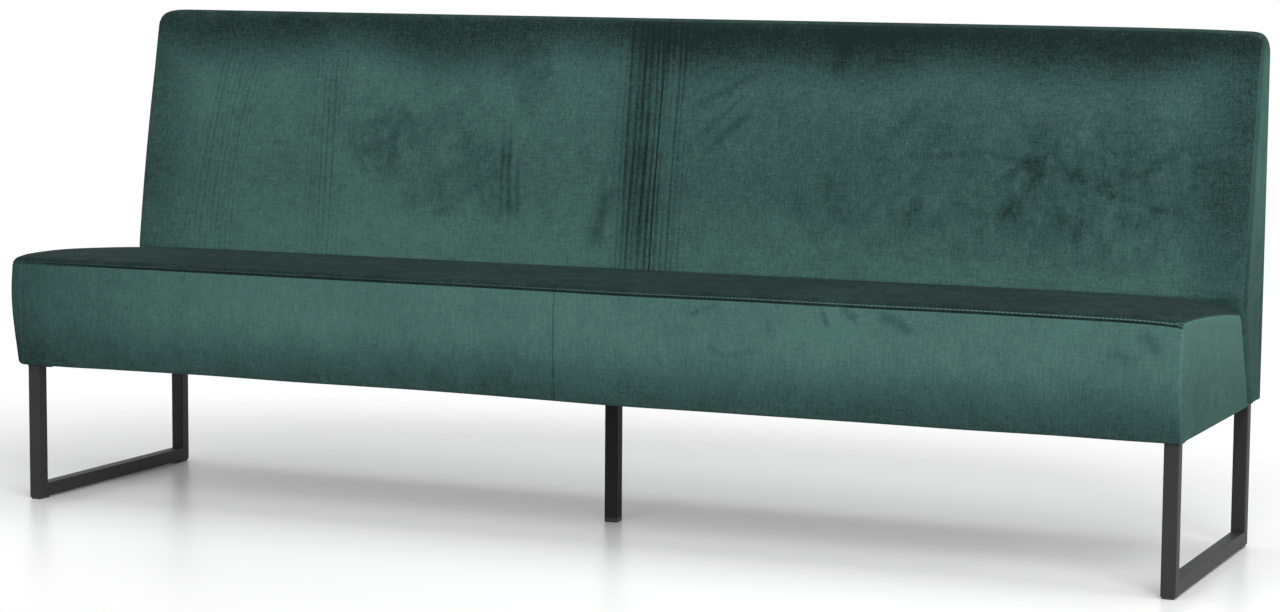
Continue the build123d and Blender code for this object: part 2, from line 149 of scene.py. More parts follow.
def outline(corners, inset=0.0):
    """A rounded closed side outline, drawn in by the inset.

    Returns points with the number of their run and their share of it, below 0 on the corner."""
    count = len(corners)
    flat = [Vector((c[0], c[1])) for c in corners]
    arcs = []
    for i, (_, _, radius, _) in enumerate(corners):
        here = flat[i]
        back = (flat[i - 1] - here).normalized()
        ahead = (flat[(i + 1) % count] - here).normalized()
        inward = (back + ahead).normalized()
        half_angle = back.angle(ahead) / 2
        turn = math.pi - 2 * half_angle
        pieces = 2 * (int(radius * turn / ARC_STEP) + 2)
        radius = max(radius - inset, LEAST_ROUND)
        here = here + inward * (inset / math.sin(half_angle))
        centre = here + inward * (radius / math.sin(half_angle))
        start = here + back * (radius / math.tan(half_angle)) - centre
        end = here + ahead * (radius / math.tan(half_angle)) - centre
        arc = []
        for k in range(pieces + 1):
            t = k / pieces
            swing = start * math.sin((1 - t) * turn) + end * math.sin(t * turn)
            arc.append((centre + swing / math.sin(turn), i, -1 + t))
        arcs.append(arc)
    points = []
    for i, arc in enumerate(arcs):
        points += arc
        first = arc[-1][0]
        run = arcs[(i + 1) % count][0][0] - first
        outward = Vector((-run.y, run.x)).normalized()
        span = (flat[(i + 1) % count] - flat[i]).length
        pieces = max(2, int(span / STEP))
        bulge = corners[i][3]
        for k in range(1, pieces):
            t = k / pieces
            points.append((first + run * t + outward * bulge * 4 * t * (1 - t), i, t))
    return points


def stations(rounding):
    """Places along the bench: close together at the ends and at the middle seam."""
    half = list(MIDDLE_STATIONS)
    x = FIRST_EVEN
    while x < HALF - LAST_EVEN:
        half.append(x)
        x += STEP
    for k in range(END_STATIONS):
        half.append(HALF - END_ZONE + k * (END_ZONE - rounding) / END_STATIONS)
    for k in range(ROUND_STATIONS + 1):
        half.append(HALF - rounding + rounding * math.sin(math.pi / 2 * k / ROUND_STATIONS))
    return [-x for x in reversed(half[1:])] + half


def end_inset(gap, rounding):
    """How far the outline is drawn in near an end, on a quarter circle."""
    if gap >= rounding:
        return 0.0
    return rounding - math.sqrt(max(0.0, rounding ** 2 - (rounding - gap) ** 2))


def upholstered(name, corners, rounding, shape, panel):
    """A closed padded form: rings along the bench, and rings gathered over both ends.

    Returns the piece, its outline ring and its places, so that seams can be found again."""
    places = stations(rounding)
    verts = []
    faces = []
    panels = []
    for x in places:
        gap = HALF - abs(x)
        ring = outline(corners, end_inset(gap, rounding))
        verts += [shape(point, x, gap, run) for point, run, _ in ring]
    ring = outline(corners)
    count = len(ring)
    for r in range(len(places) - 1):
        gap = HALF - abs(places[r] + places[r + 1]) / 2
        faces += band(r * count, count)
        panels += [panel(run, share, gap) for _, run, share in ring]
    for r, side in ((0, -1), (len(places) - 1, 1)):
        last = list(range(r * count, (r + 1) * count))
        rim = [verts[k].copy() for k in last]
        middle = sum(rim, Vector()) / count
        for size in END_RINGS:
            fresh = list(range(len(verts), len(verts) + count))
            verts += [middle + (p - middle) * size for p in rim]
            for k in range(count):
                n = (k + 1) % count
                quad = (last[n], last[k], fresh[k], fresh[n])
                faces.append(quad if side > 0 else quad[::-1])
            last = fresh
        faces.append(tuple(reversed(last)) if side > 0 else tuple(last))
    panels += [panel(END, 0, 0)] * (len(faces) - len(panels))
    piece = new_piece(name, verts, faces)
    for face, number in zip(piece.data.polygons, panels):
        face.material_index = number
    return piece, ring, places


def band(first, count):
    """Faces between a ring of points and the ring after it."""
    faces = []
    for k in range(count):
        n = (k + 1) % count
        faces.append((first + k, first + count + k, first + count + n, first + n))
    return faces


def link(item):
    """Put an object into the scene."""
    bpy.context.scene.collection.objects.link(item)


def new_piece(name, verts, faces):
    """A smooth-shaded mesh object from points and faces."""
    mesh = bpy.data.meshes.new(name)
    mesh.from_pydata([tuple(v) for v in verts], [], faces)
    mesh.shade_smooth()
    piece = bpy.data.objects.new(name, mesh)
    link(piece)
    return piece


def inflate(piece, held, pressure):
    """Let the cover swell as pressed cloth between its held points, by a limited amount."""
    scene = bpy.context.scene
    group = piece.vertex_groups.new(name="held")
    group.add(held, 1.0, "REPLACE")
    rest = [v.co.copy() for v in piece.data.vertices]
    cloth = piece.modifiers.new("cloth", "CLOTH")
    cloth.settings.quality = 4
    cloth.settings.mass = 0.4
    cloth.settings.use_pressure = True
    cloth.settings.uniform_pressure_force = pressure
    cloth.settings.tension_stiffness = 30
    cloth.settings.compression_stiffness = 30
    cloth.settings.bending_stiffness = 4
    cloth.settings.vertex_group_mass = "held"
    cloth.settings.effector_weights.gravity = 0.0
    cloth.point_cache.frame_start = 1
    cloth.point_cache.frame_end = CLOTH_FRAMES
    for step in range(1, CLOTH_FRAMES + 1):
        scene.frame_set(step)
    posed = piece.evaluated_get(bpy.context.evaluated_depsgraph_get())
    moved = [v.co.copy() for v in posed.to_mesh().vertices]
    posed.to_mesh_clear()
    piece.modifiers.remove(cloth)
    piece.vertex_groups.remove(group)
    for vert, start, end in zip(piece.data.vertices, rest, moved):
        shift = end - start
        if shift.length > SWELL_LIMIT:
            shift = shift.normalized() * SWELL_LIMIT
        vert.co = start + shift
    piece.data.update()
    scene.frame_set(1)


# Shader helpers

class Sock:
    """A shader socket that takes part in plain arithmetic."""

    def __init__(self, graph, socket):
        self.graph = graph
        self.socket = socket

    def __add__(self, other):
        return self.graph.math("ADD", self, other)

    def __radd__(self, other):
        return self.graph.math("ADD", other, self)

    def __sub__(self, other):
        return self.graph.math("SUBTRACT", self, other)

    def __rsub__(self, other):
        return self.graph.math("SUBTRACT", other, self)

    def __mul__(self, other):
        return self.graph.math("MULTIPLY", self, other)

    def __truediv__(self, other):
        return self.graph.math("DIVIDE", self, other)

    def __neg__(self):
        return self.graph.math("MULTIPLY", self, -1.0)

    def __abs__(self):
        return self.graph.math("ABSOLUTE", self)


class Graph:
    """A node material under construction."""

    def __init__(self, name):
        self.material = bpy.data.materials.new(name)
        self.material.use_nodes = True
        self.tree = self.material.node_tree
        self.tree.nodes.clear()
        self.result = self.tree.nodes.new("ShaderNodeOutputMaterial")

    def feed(self, socket, value):
        """Link a socket or set a plain value. A colour gets its fourth number here."""
        if isinstance(value, Sock):
            self.tree.links.new(value.socket, socket)
        elif isinstance(value, tuple) and len(value) < len(socket.default_value):
            socket.default_value = (*value, 1.0)
        else:
            socket.default_value = value

    def add(self, kind, settings=None, sockets=None, out=0):
        node = self.tree.nodes.new(kind)
        for key, value in (settings or {}).items():
            setattr(node, key, value)
        for key, value in (sockets or {}).items():
            self.feed(node.inputs[key], value)
        return Sock(self, node.outputs[out])

    def math(self, operation, *values):
        return self.add("ShaderNodeMath", {"operation": operation}, dict(enumerate(values)))

    def place(self):
        return self.add("ShaderNodeTexCoord", out="Object")

    def split(self, vector):
        node = self.tree.nodes.new("ShaderNodeSeparateXYZ")
        self.feed(node.inputs[0], vector)
        return [Sock(self, out) for out in node.outputs]

    def join(self, x, y, z):
        return self.add("ShaderNodeCombineXYZ", None, {0: x, 1: y, 2: z})

    def stretch(self, vector, factors):
        return self.add("ShaderNodeVectorMath", {"operation": "MULTIPLY"}, {0: vector, 1: factors})

    def noise(self, vector, scale, detail=3.0, roughness=0.5, distortion=0.0):
        return self.add(
            "ShaderNodeTexNoise",
            None,
            {"Vector": vector, "Scale": scale, "Detail": detail, "Roughness": roughness,
             "Distortion": distortion},
        )

    def ramp(self, value, low, high, start=0.0, end=1.0, kind="SMOOTHSTEP"):
        return self.add(
            "ShaderNodeMapRange",
            {"interpolation_type": kind},
            {"Value": value, "From Min": low, "From Max": high, "To Min": start, "To Max": end},
        )

    def share(self, value, low, high, start=0.0, end=1.0):
        return self.ramp(value, low, high, start, end, "LINEAR")

    def blend(self, factor, a, b):
        return self.add("ShaderNodeMix", {"data_type": "RGBA"}, {0: factor, 6: a, 7: b}, out=2)

    def bump(self, height, distance, strength=1.0):
        return self.add(
            "ShaderNodeBump", None, {"Height": height, "Distance": distance, "Strength": strength}
        )

    def finish(self, sockets):
        shader = self.add("ShaderNodeBsdfPrincipled", None, sockets)
        self.tree.links.new(shader.socket, self.result.inputs["Surface"])
        return self.material


# Materials

# Combed lines on the backrest: x at the seat, how far they bow to the right going up, half
# width, strength, and the height where they fade out
COMBED = [
    (-0.935, 0.28, 0.070, 0.18, 0.79),
    (-0.685, -0.05, 0.056, 0.17, 0.80),
    (-0.008, -0.04, 0.080, 0.44, 1.00),
]
COMB_FROM = 0.45        # height from which they bow
COMB_PITCH = 0.0115     # from line to line
# Brush strokes on the backrest: from x, z to x, z, half width, and strength
STROKES = [
    (-0.030, 0.440, -0.042, 0.900, 0.036, 0.30),
    (-0.115, 0.485, -0.090, 0.600, 0.017, 0.30),
    (-0.308, 0.530, -0.316, 0.705, 0.005, 0.24),
    (-0.290, 0.515, -0.302, 0.700, 0.006, 0.30),
    (-0.274, 0.530, -0.282, 0.650, 0.006, 0.26),
    (0.098, 0.668, 0.182, 0.744, 0.008, 0.26),
    (0.080, 0.690, 0.165, 0.772, 0.006, 0.18),
    (0.070, 0.748, 0.195, 0.815, 0.009, 0.18),
    (0.470, 0.664, 0.640, 0.683, 0.007, 0.12),
    (0.610, 0.684, 0.775, 0.655, 0.007, 0.12),
    (0.825, 0.626, 1.010, 0.574, 0.008, 0.15),
    (0.672, 0.628, 0.742, 0.680, 0.014, 0.15),
    (0.648, 0.622, 0.722, 0.684, 0.009, 0.14),
    (0.690, 0.618, 0.752, 0.660, 0.010, 0.12),
    (0.655, 0.560, 0.700, 0.604, 0.014, 0.16),
    (0.490, 0.520, 0.516, 0.610, 0.018, 0.18),
    (0.812, 0.480, 0.800, 0.560, 0.012, 0.12),
    (0.440, 0.690, 0.520, 0.775, 0.014, 0.12),
    (0.900, 0.640, 0.980, 0.690, 0.012, 0.12),
    (0.345, 0.800, 0.352, 0.900, 0.018, 0.16),
]
# Clouded places on the backrest where the pile is ruffled: x, z, half sizes, and strength
RUFFLED = [
    (-0.58, 0.67, 0.08, 0.09, 0.34),
    (-0.45, 0.66, 0.14, 0.13, 0.24),
    (-0.45, 0.57, 0.08, 0.06, 0.20),
    (-0.32, 0.60, 0.07, 0.08, 0.28),
    (-0.27, 0.80, 0.07, 0.06, 0.31),
    (0.58, 0.62, 0.26, 0.15, 0.22),
    (0.86, 0.63, 0.22, 0.16, 0.30),
    (0.34, 0.57, 0.09, 0.07, 0.20),
]

# Rubbed places on the seat front: from x, z to x, z, half width, and strength
FRONT_STROKES = [
    (0.255, 0.418, 0.274, 0.427, 0.0045, 0.28),
    (0.279, 0.426, 0.306, 0.438, 0.0060, 0.16),
    (0.290, 0.368, 0.318, 0.350, 0.0060, 0.14),
    (0.314, 0.350, 0.384, 0.366, 0.0060, 0.12),
    (0.392, 0.420, 0.404, 0.392, 0.0060, 0.14),
    (0.490, 0.440, 0.504, 0.410, 0.0050, 0.30),
    (0.524, 0.446, 0.556, 0.421, 0.0080, 0.30),
    (0.590, 0.438, 0.652, 0.406, 0.0120, 0.26),
    (0.976, 0.398, 1.016, 0.384, 0.0100, 0.18),
    (1.026, 0.428, 1.066, 0.400, 0.0130, 0.26),
]

VELVET_DEEP = (0.0080, 0.0185, 0.0180)
VELVET_MID = (0.0365, 0.0830, 0.0755)
VELVET_LIGHT = (0.0760, 0.1720, 0.1480)


def stroked(g, strokes, x, z, mottle, wander):
    """How far a table of brush strokes turns the nap away at a place."""
    change = 0.0
    for from_x, from_z, to_x, to_z, wide, strength in strokes:
        run_x = to_x - from_x
        run_z = to_z - from_z
        length = math.hypot(run_x, run_z)
        along = (x - from_x) * (run_x / length ** 2) + (z - from_z) * (run_z / length ** 2)
        across = (x - from_x) * (run_z / length) - (z - from_z) * (run_x / length)
        across = across + wander * 0.5 + (mottle - 0.5) * wide * 1.6
        reach = g.ramp(along, -0.12, 0.25) * g.ramp(along, 0.72, 1.10, start=1.0, end=0.0)
        dark = g.ramp(abs(across) / wide, 0.0, 1.5, start=strength * 0.85, end=0.0)
        change = change + dark * reach
    return change


# Changes of the velvet's level, mostly painted shade and painted light, some of them real marks of
# the nap. All take the same values, so that velvet can call any of them.

def backrest_marks_and_shade(g, x, y, z, mottle):
    """Combed lines, brush strokes and ruffled places, painted shade where the top rolls over and at
    the ends, and darker to the right and lighter low down.
    """
    change = 0.0
    wander = (g.noise(g.join(x * 9.0, 0.0, z * 2.0), scale=1.0, detail=2.0) - 0.5) * 0.016
    for number, (at_x, bow, wide, strength, top) in enumerate(COMBED):
        up = z - COMB_FROM
        across = x - at_x - up * up * bow + wander
        shift = g.noise(g.join(across * 55.0, number * 3.7, z * 1.3),
                        scale=1.0, detail=2.0, roughness=0.6)
        lines = g.math("SINE", across * (2 * math.pi / COMB_PITCH) + shift * 8.0)
        patches = g.noise(g.join(across * 70.0, z * 2.2, number), scale=1.0, detail=2.0)
        depth = g.ramp(patches, 0.22, 0.66)
        reach = g.ramp(abs(across) / wide, 0.35, 1.20, start=1.0, end=0.0)
        reach = reach * g.ramp(z, top, top + 0.06, start=1.0, end=0.0)
        change = change - g.ramp(lines, -0.7, 1.0) * reach * depth * strength
    change = change - stroked(g, STROKES, x, z, mottle, wander)
    ragged = g.noise(g.join(x, 0.0, z * 0.8),
                     scale=24.0, detail=4.0, roughness=0.60, distortion=0.4)
    for at_x, at_z, wide, high, strength in RUFFLED:
        across = (x - at_x) / wide
        up = (z - at_z) / high
        reach = g.ramp(across * across + up * up, 0.0, 1.3, start=1.0, end=0.0)
        change = change - reach * g.ramp(ragged, 0.28, 0.80) * strength
    # Painted shade where the top rolls over and at both ends; besides, darker towards the right and
    # lighter low down.
    uneven_top = (g.noise(g.join(x, 7.0, 0.0), scale=2.6, detail=2.0) - 0.5) * 0.14
    roll = g.ramp(z + (mottle - 0.5) * 0.05 + uneven_top, 0.770, 0.895) * 0.62
    ends = g.ramp(abs(x) + (mottle - 0.5) * 0.05, 0.930, 1.095) * 0.36
    darker = g.ramp(x, -0.6, 0.2) * 0.17
    lower = g.ramp(z, 0.46, 0.62, start=0.18, end=0.0)
    return change + lower - darker - g.math("SMOOTH_MAX", roll, ends, 0.25)


def front_fall(g, x, y, z, mottle):
    """The seat front has painted shade towards its lower edge, to the left and at the left end, and
    is rubbed in places.
    """
    # Painted shade: darker low down, to the left and at the left end.
    low = g.ramp(z + (mottle - 0.5) * 0.015, 0.250, 0.375, start=0.46, end=0.0)
    low = low * g.ramp(x, -1.1, -0.4, start=0.62, end=1.0)
    left = g.ramp(x + (mottle - 0.5) * 0.10, -1.10, -0.62, start=0.18, end=0.0)
    edge = g.ramp(x, -1.12, -1.00, start=0.16, end=0.0)
    return -low - left - edge - stroked(g, FRONT_STROKES, x, z, mottle, 0.0)


def side_fall(g, x, y, z, mottle):
    """The seat's sides darken downwards, as painted shade."""
    return g.ramp(z + (mottle - 0.5) * 0.04, 0.26, 0.44, start=-0.32, end=0.0)


def back_side_fall(g, x, y, z, mottle):
    """The backrest's sides darken downwards, along their front edge and over the top, as painted
    shade.
    """
    behind = y - KNEE_Y - (z - KNEE_Z) * BACK_LEAN
    edge = g.ramp(behind, 0.008, 0.030, start=-0.30, end=0.0)
    over = g.ramp(z, 0.845, 0.895, start=0.0, end=-0.40)
    low = g.ramp(z + (mottle - 0.5) * 0.04, 0.36, 0.66, start=-0.34, end=0.0)
    return edge + over + low


def crease_fade(g, x, y, z, mottle):
    """The painted shadow in the crease under the front seam runs out towards the left end."""
    return g.ramp(x, -1.12, -0.85, start=0.34, end=0.0)


def fold_rise(g, x, y, z, mottle):
    """The lapped fold lies dark at the left and catches more light to the right."""
    return g.ramp(x, -0.5, 0.9, start=0.0, end=0.34)


def velvet(name, level, change=None, ridged=True, cloudy=0.34, grain=1.0):
    """Short pile velvet at a level of painted light and shade from 0, darkest, to 1, lightest, with
    the grain, clouding and marks of its nap added.
    """
    g = Graph(name)
    place = g.place()
    x, y, z = g.split(place)
    clouds = g.noise(place, scale=3.6, detail=3.0, roughness=0.6, distortion=0.3)
    mottle = g.noise(g.stretch(place, (1.0, 1.0, 0.7)),
                     scale=30.0, detail=4.0, roughness=0.7, distortion=0.5)
    slub_up = g.noise(g.stretch(place, (1.0, 1.0, 0.14)),
                      scale=300.0, detail=3.0, roughness=0.65)
    slub_across = g.noise(g.stretch(place, (0.14, 0.14, 1.0)),
                          scale=300.0, detail=3.0, roughness=0.65)
    pile = g.noise(place, scale=420.0, detail=3.0, roughness=0.75)
    nap_and_painted_light = level + (clouds - 0.5) * 0.30 + (mottle - 0.5) * cloudy
    if change:
        nap_and_painted_light = nap_and_painted_light + change(g, x, y, z, mottle)
    # Painted shade along the middle seam and a painted highlight on the ridge of the end seams;
    # both also shape the bump.
    middle = g.ramp(abs(x), 0.0006, 0.0024, start=1.0, end=0.0)
    ridge = 0.0
    if ridged:
        from_ridge = abs(abs(x) - (HALF - END_RIDGE))
        ridge = g.ramp(from_ridge, 0.0005, 0.0026, start=1.0, end=0.0)
    nap_and_painted_light = nap_and_painted_light - middle * 0.22 + ridge * 0.14
    fibre = (pile - 0.5) * 0.80 + (slub_up - 0.5) * 0.40 + (slub_across - 0.5) * 0.30
    nap_and_painted_light = nap_and_painted_light + fibre * grain
    low = g.blend(g.share(nap_and_painted_light, 0.0, 0.5), VELVET_DEEP, VELVET_MID)
    colour = g.blend(g.share(nap_and_painted_light, 0.5, 1.0), low, VELVET_LIGHT)
    threads = mottle * 0.25 + (slub_up + slub_across) * 0.35 + pile * 0.3
    relief = threads - middle * 1.4 + ridge * 0.8
    return g.finish({
        "Base Color": colour,
        "Roughness": g.share(nap_and_painted_light, 0.0, 1.0, start=0.95, end=0.82),
        "Specular IOR Level": 0.10,
        "Normal": g.bump(relief, distance=0.0010, strength=0.5),
    })


def powder_coat(name, dark, light, shine):
    """Matt black powder coat with a fine orange-peel grain and scuffs near the floor."""
    g = Graph(name)
    place = g.place()
    height = g.split(place)[2]
    peel = g.noise(place, scale=520.0, detail=2.0, roughness=0.6)
    patches = g.noise(place, scale=14.0, detail=3.0, roughness=0.6)
    rubs = g.noise(g.stretch(place, (1.0, 0.3, 1.0)), scale=90.0, detail=4.0, roughness=0.7)
    scuff = g.ramp(rubs, 0.62, 0.72) * g.ramp(height, 0.09, 0.0)
    colour = g.blend(patches, dark, light)
    colour = g.blend(scuff * 0.5, colour, (0.06, 0.06, 0.06))
    return g.finish({
        "Base Color": colour,
        "Roughness": 0.48 + peel * 0.14 + scuff * 0.15,
        "Specular IOR Level": shine,
        "Normal": g.bump(peel, distance=0.00035, strength=0.5),
    })


def moulded_plastic():
    """Black moulded plastic with a faint texture and floor dust."""
    g = Graph("moulded_plastic")
    place = g.place()
    height = g.split(place)[2]
    grain = g.noise(place, scale=700.0, detail=2.0, roughness=0.6)
    dust = g.ramp(height, 0.004, 0.0) * g.noise(place, scale=60.0, detail=3.0)
    colour = g.blend(dust * 0.4, (0.010, 0.010, 0.011), (0.06, 0.058, 0.055))
    return g.finish({
        "Base Color": colour,
        "Roughness": 0.34 + grain * 0.2,
        "Normal": g.bump(grain, distance=0.0002, strength=0.4),
    })


def lining_cloth():
    """Thin black non-woven cloth with a bonded point pattern."""
    g = Graph("lining_cloth")
    place = g.place()
    fibres = g.noise(g.stretch(place, (1.0, 2.0, 1.0)), scale=420.0, detail=3.0, roughness=0.7)
    points = g.add("ShaderNodeTexVoronoi", None, {"Vector": place, "Scale": 260.0})
    dots = g.ramp(points, 0.12, 0.3)
    colour = g.blend(fibres, (0.010, 0.010, 0.010), (0.030, 0.030, 0.031))
    return g.finish({
        "Base Color": colour,
        "Roughness": 0.95,
        "Normal": g.bump(dots + fibres * 0.5, distance=0.0003, strength=0.6),
    })


def zinc():
    """Zinc plated fastener steel with a mottled passivated skin."""
    g = Graph("zinc")
    cloud = g.noise(g.place(), scale=180.0, detail=3.0, roughness=0.6)
    colour = g.blend(cloud, (0.36, 0.36, 0.34), (0.62, 0.62, 0.60))
    return g.finish({"Base Color": colour, "Metallic": 1.0, "Roughness": 0.28 + cloud * 0.25})


def plain_wood(name, light, dark, scale):
    """Wood of the hidden frame: long grain with pores."""
    g = Graph(name)
    place = g.place()
    grain = g.noise(g.stretch(place, (0.12, 1.0, 1.0)),
                    scale, detail=5.0, roughness=0.6, distortion=0.5)
    pores = g.noise(g.stretch(place, (0.05, 1.0, 1.0)), scale * 9, detail=2.0)
    return g.finish({
        "Base Color": g.blend(grain, light, dark),
        "Roughness": 0.6 + pores * 0.2,
        "Normal": g.bump(pores, distance=0.0003, strength=0.4),
    })


def webbing():
    """Woven elastic webbing."""
    g = Graph("webbing")
    weave = g.add("ShaderNodeTexWave", {"wave_type": "BANDS", "bands_direction": "DIAGONAL"},
                  {"Vector": g.place(), "Scale": 160.0, "Distortion": 1.0})
    return g.finish({
        "Base Color": g.blend(weave, (0.05, 0.04, 0.03), (0.16, 0.13, 0.10)),
        "Roughness": 0.9,
        "Normal": g.bump(weave, distance=0.0004, strength=0.6),
    })


def thread():
    """Twisted sewing thread in the colour of the velvet, turned darker to the left by painted
    shade.
    """
    g = Graph("thread")
    place = g.place()
    along = g.split(place)[0]
    twist = g.noise(place, scale=1400.0, detail=2.0)
    lit_thread = g.blend(twist, (0.080, 0.140, 0.125), (0.160, 0.250, 0.225))
    return g.finish({
        # Painted shade darkens the thread to the left; its light colour at the right is partly its
        # own and partly painted highlight.
        "Base Color": g.blend(g.ramp(along, -0.3, 1.1), (0.022, 0.045, 0.042), lit_thread),
        "Roughness": 0.7,
        "Normal": g.bump(twist, distance=0.0003, strength=0.6),
    })


def floor_paint():
    """Pale studio floor that fades into the white background."""
    g = Graph("floor_paint")
    place = g.place()
    x, y, _ = g.split(place)
    radius = g.math("SQRT", (x * 0.55) * (x * 0.55) + (y - 0.1) * (y - 0.1))
    cloud = g.noise(place, scale=1.5, detail=2.0)
    shader = g.add("ShaderNodeBsdfPrincipled", None, {
        "Base Color": g.blend(cloud, (0.94, 0.94, 0.94), (0.96, 0.96, 0.96)),
        "Roughness": 0.30 + cloud * 0.05,
        "Specular IOR Level": 0.25,
    })
    clear = g.add("ShaderNodeBsdfTransparent")
    fade = g.ramp(radius, 0.75, 1.40)
    mixed = g.add("ShaderNodeMixShader", None, {0: fade, 1: shader, 2: clear})
    g.tree.links.new(mixed.socket, g.result.inputs["Surface"])
    return g.material


# Upholstery forms

def clamp(value):
    """The value, kept between 0 and 1."""
    return min(1.0, max(0.0, value))


def ease(value, low, high):
    """A smooth step from 0 at low to 1 at high."""
    t = clamp((value - low) / (high - low))
    return t * t * (3 - 2 * t)


def uneven(along, across, layer, size):
    """Slow unevenness of the padding."""
    return noise.noise(Vector((along, across, layer))) * size


def seat_shape(point, x, gap, run):
    """The seat falls away to its ends, more so at the rear, and swells out at the left end."""
    y, z = point
    rise = clamp((z - HEM) / SEAT_RISE)
    depth = clamp((y + SEAT_REACH) / SEAT_DEPTH)
    # Fall at the ends: at the front edge, added towards the rear, and a bow on the way
    if x < 0:
        fall = 0.001 + 0.019 * depth - 0.004 * ease(depth, 0.0, 0.12)
    else:
        fall = 0.006 + 0.020 * depth + 0.006 * math.sin(math.pi * depth)
    z -= fall * math.exp(-gap / FALL_REACH) * rise
    inside = ease(gap, 0.0, EVEN_END)
    if run == SEAT_TOP:
        z += uneven(x * 3.1, y * 4.0, 2.0, 0.0018) * inside
    if run == SEAT_FRONT:
        y += uneven(x * 2.3, z * 5.0, 7.0, 0.0014) * inside
    if run == SEAT_UNDER and SEAT_UNDER_SPAN[0] < y < SEAT_UNDER_SPAN[1]:
        z += UNDER_LIFT
    lower = ease(HEM_TOP - z, 0.0, HEM_FADE)
    front = ease(-y, 0.264, 0.270) if gap > END_CAP else ease(-y, 0.248, 0.262)
    hem = uneven(x * 5.0, 1.0, 3.0, 0.0010) * inside
    hem -= HEM_RIGHT * ease(x, -0.15, 0.10) + HEM_LEFT * ease(-x, 0.90, 1.0) * ease(gap, 0.0, 0.012)
    z += hem * front * lower
    if x > 0 and gap < END_CAP:
        z -= (HEM_CORNER * (1 - front) + end_inset(gap, SEAT_END_ROUND) * 0.8) * lower
    out = ease(z, 0.25, 0.40) - 0.10 * ease(z, 0.40, 0.46)
    if x < 0:
        x -= (SEAT_LEFT + LEFT_SWELL * out) * math.exp(-gap / SWELL_REACH)
    return Vector((x, y, z))


def back_shape(point, x, gap, run):
    """The backrest rises a little to its left and rolls over at its ends and upper corners."""
    y, z = point
    high = ease(z, 0.78, 0.90)
    # Drop of the upper corners: a quarter circle, and at the right a slope as well
    if x < 0:
        corner = 0.42 * end_inset(gap, 0.046)
    else:
        corner = 0.50 * end_inset(gap, 0.028) + 0.005 * math.exp(-gap / 0.09)
    z += high * (BACK_LIFT - TOP_TILT * x / HALF - corner)
    inside = ease(gap, 0.0, EVEN_END)
    if run == BACK_FRONT:
        y += BACK_DRAWN * math.exp(-gap / 0.03) * (1 - high)
        y += uneven(x * 2.0, z * 3.0, 5.0, 0.0016) * inside
    if run == BACK_REAR:
        y += uneven(x * 2.0, z * 3.0, 8.0, 0.0012) * inside
    if run == BACK_UNDER and BACK_UNDER_SPAN[0] < y < BACK_UNDER_SPAN[1]:
        z += UNDER_LIFT
    if gap < END_CAP:
        z -= end_inset(gap, BACK_END_ROUND) * 0.7 * ease(HEM_TOP - z, 0.0, HEM_FADE)
    x += (-BACK_LEFT if x < 0 else BACK_RIGHT) * math.exp(-gap / SWELL_REACH)
    return Vector((x, y, z))


# Numbers of the materials on a padded piece, in the order in which it is given them
FRONT, TOP, SIDE, HIDDEN, CREASED = range(5)


def seat_panel(run, share, gap):
    """The seat's material number at a place of its outline."""
    if run == END or gap < PANEL_EDGE:
        return SIDE
    # The band just under the seam takes the crease's painted shadow.
    if run == SEAT_TOP and SEAM_SHARE - CREASE_FROM < share < SEAM_SHARE - CREASE_TO:
        return CREASED
    if run == SEAT_FRONT or (run == SEAT_TOP and share < SEAM_SHARE):
        return FRONT
    return TOP if run == SEAT_TOP else HIDDEN


def back_panel(run, share, gap):
    """The backrest's material number at a place of its outline."""
    if run == END or gap < PANEL_EDGE:
        return SIDE
    if run in (BACK_FOOT, BACK_FRONT) or (run == BACK_TOP and share < MID_CORNER):
        return FRONT
    if run == BACK_TOP or (run == BACK_REAR and share < MID_CORNER):
        return TOP
    return HIDDEN


def seam_points(ring, places, run, share):
    """Point numbers along the bench at one place of the outline."""
    near = min((k for k in range(len(ring)) if ring[k][1] == run),
               key=lambda k: abs(ring[k][2] - share))
    return [r * len(ring) + near for r in range(len(places))]


def held_points(ring, places, pressed_run):
    """Points that stay put while a cover swells: rounded edges with their seams, the middle seam,
    the ends, the underside, the top and the run where seat and backrest press on each other."""
    held = []
    for r, x in enumerate(places):
        on_seam = abs(x) < HELD_MIDDLE or HALF - abs(x) < HELD_END
        for k, (point, run, share) in enumerate(ring):
            pressed = share <= 0 or run == pressed_run
            height = point.y
            if on_seam or pressed or height < HELD_BELOW or height > HELD_ABOVE:
                held.append(r * len(ring) + k)
    return held


def dress(piece, materials, nodes=()):
    """Give a piece its materials, hang it under the root body and hide the nodes that it replaces.
    """
    for material in materials:
        piece.data.materials.append(material)
    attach(piece, "root")
    if nodes:
        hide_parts(*nodes)


def nodes_named(*starts):
    """Names of the nodes that start with one of these words."""
    return [name for name in frame["nodes"] if name.startswith(starts)]


def fold_along(name, points, outward, along, sizes):
    """A narrow lapped fold that lies on the cover: its section swept through the points."""
    verts = []
    faces = []
    count = len(FOLD_SECTION)
    for p, n, t, size in zip(points, outward, along, sizes):
        verts += [p + (t * (across * FOLD_HALF) + n * out) * size for across, out in FOLD_SECTION]
    for r in range(len(points) - 1):
        faces += band(r * count, count)
    faces.append(tuple(range(count)))
    faces.append(tuple(reversed(range((len(points) - 1) * count, len(points) * count))))
    return new_piece(name, verts, faces)


